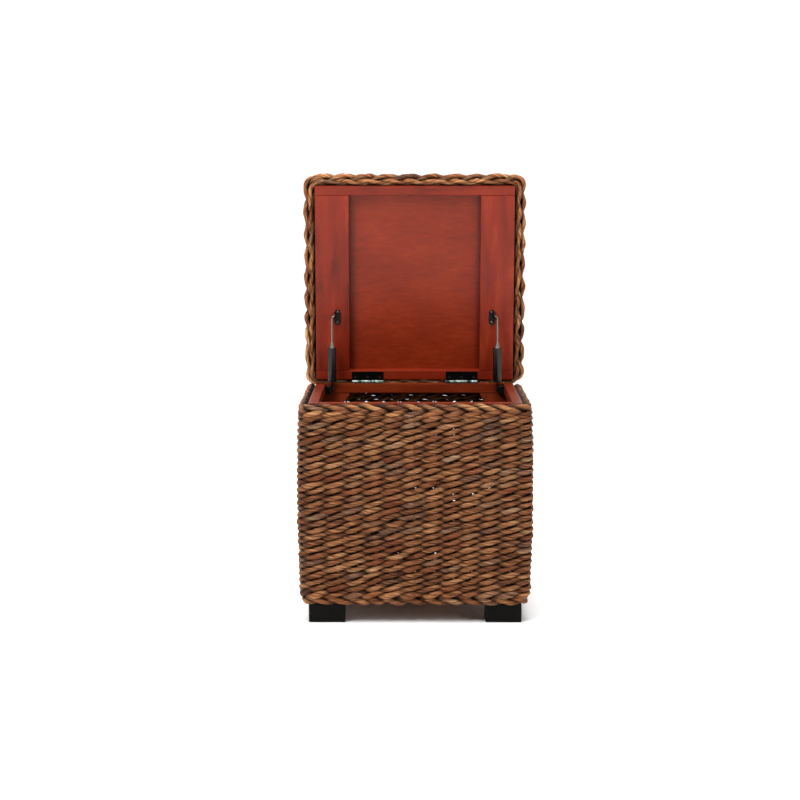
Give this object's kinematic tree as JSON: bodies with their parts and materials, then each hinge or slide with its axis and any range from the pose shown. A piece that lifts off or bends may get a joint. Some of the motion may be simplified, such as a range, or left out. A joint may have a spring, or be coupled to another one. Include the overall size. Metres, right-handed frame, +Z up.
{
  "type": "storage ottoman",
  "caption": "Square rope-woven storage ottoman on block feet, its wood-framed lid standing open on two hinges and two sprung stays.",
  "frame": {"origin": "centre of the stored object's box at floor level, lid open", "axes": "+Z up, -Y towards the front, +X towards the right seen from the front"},
  "size_m": [0.463, 0.4823, 0.8777],
  "materials": {
    "rim_wood": "red-brown stain under satin lacquer",
    "lid_wood": "cherry red stain under satin lacquer",
    "black_wood": "black stain, satin",
    "board": "plain thin board, unfinished",
    "rope": "twisted dried leaf rope, woven",
    "braid": "twisted dried leaf rope, braided edge",
    "black_metal": "black, satin",
    "gunmetal": "dark grey plated tube, glossy",
    "steel": "bright drawn steel",
    "dark_screw": "blackened steel"
  },
  "bodies": {
    "base": {"base_board": "board", "body_weave": "rope", "border_bottom": "braid", "border_top": "braid", "bottom_rail_front": "rim_wood", "bottom_rail_left": "rim_wood", "bottom_rail_rear": "rim_wood", "bottom_rail_right": "rim_wood", "foot_front_left": "black_wood", "foot_front_right": "black_wood", "foot_rear_left": "black_wood", "foot_rear_right": "black_wood", "gusset_front_left": "rim_wood", "gusset_front_right": "rim_wood", "gusset_rear_left": "rim_wood", "gusset_rear_right": "rim_wood", "hinge_leaf_lower_left": "black_metal", "hinge_leaf_lower_right": "black_metal", "hinge_pin_left": "steel", "hinge_pin_right": "steel", "left_stay_block": "black_metal", "post_front_left": "rim_wood", "post_front_right": "rim_wood", "post_rear_left": "rim_wood", "post_rear_right": "rim_wood", "right_stay_block": "black_metal", "top_rail_front": "rim_wood", "top_rail_left": "rim_wood", "top_rail_rear": "rim_wood", "top_rail_right": "rim_wood"},
    "lid": {"bracket_screw_left_a": "dark_screw", "bracket_screw_left_b": "dark_screw", "bracket_screw_right_a": "dark_screw", "bracket_screw_right_b": "dark_screw", "hinge_leaf_upper_left": "black_metal", "hinge_leaf_upper_right": "black_metal", "hinge_screw_left_a": "dark_screw", "hinge_screw_left_b": "dark_screw", "hinge_screw_left_c": "dark_screw", "hinge_screw_right_a": "dark_screw", "hinge_screw_right_b": "dark_screw", "hinge_screw_right_c": "dark_screw", "left_stay_bracket": "black_metal", "lid_border": "braid", "lid_panel": "lid_wood", "lid_rail_front": "lid_wood", "lid_rail_rear": "lid_wood", "lid_stile_left": "lid_wood", "lid_stile_right": "lid_wood", "lid_weave": "rope", "right_stay_bracket": "black_metal"},
    "left_stay_outer": {"left_stay_tube": "gunmetal", "left_stay_spring": "steel"},
    "left_stay_inner": {"left_stay_rod": "steel", "left_stay_guide": "steel"},
    "right_stay_outer": {"right_stay_tube": "gunmetal", "right_stay_spring": "steel"},
    "right_stay_inner": {"right_stay_rod": "steel", "right_stay_guide": "steel"}
  },
  "joints": [
    {"name": "lid_hinge", "type": "hinge", "parent": "base", "child": "lid", "pos_m": [0, 0.20257, 0.4353], "axis": [1, 0, 0], "range_deg": [0, 80], "stiffness_Nm_per_rad": 1.1, "springref_deg": -63.03},
    {"name": "left_stay_turn", "type": "hinge", "parent": "base", "child": "left_stay_outer", "pos_m": [-0.1745, 0.16957, 0.4215], "axis": [1, 0, 0], "range_deg": [-0.5, 88]},
    {"name": "left_stay_slide", "type": "slide", "parent": "left_stay_outer", "child": "left_stay_inner", "axis": [0, -0.0227, 0.9997], "range_m": [-0.0432, 0.0003], "deforming": ["left_stay_spring"]},
    {"name": "right_stay_turn", "type": "hinge", "parent": "base", "child": "right_stay_outer", "pos_m": [0.1745, 0.16957, 0.4215], "axis": [1, 0, 0], "range_deg": [-0.5, 88]},
    {"name": "right_stay_slide", "type": "slide", "parent": "right_stay_outer", "child": "right_stay_inner", "axis": [0, -0.0227, 0.9997], "range_m": [-0.0432, 0.0003], "deforming": ["right_stay_spring"]}
  ],
  "couplings": [
    {"joint": "left_stay_turn", "follows": "lid_hinge", "ratio": 1.0941},
    {"joint": "left_stay_slide", "follows": "lid_hinge", "m_per_rad": -0.030522},
    {"joint": "right_stay_turn", "follows": "lid_hinge", "ratio": 1.0941},
    {"joint": "right_stay_slide", "follows": "lid_hinge", "m_per_rad": -0.030522}
  ]
}
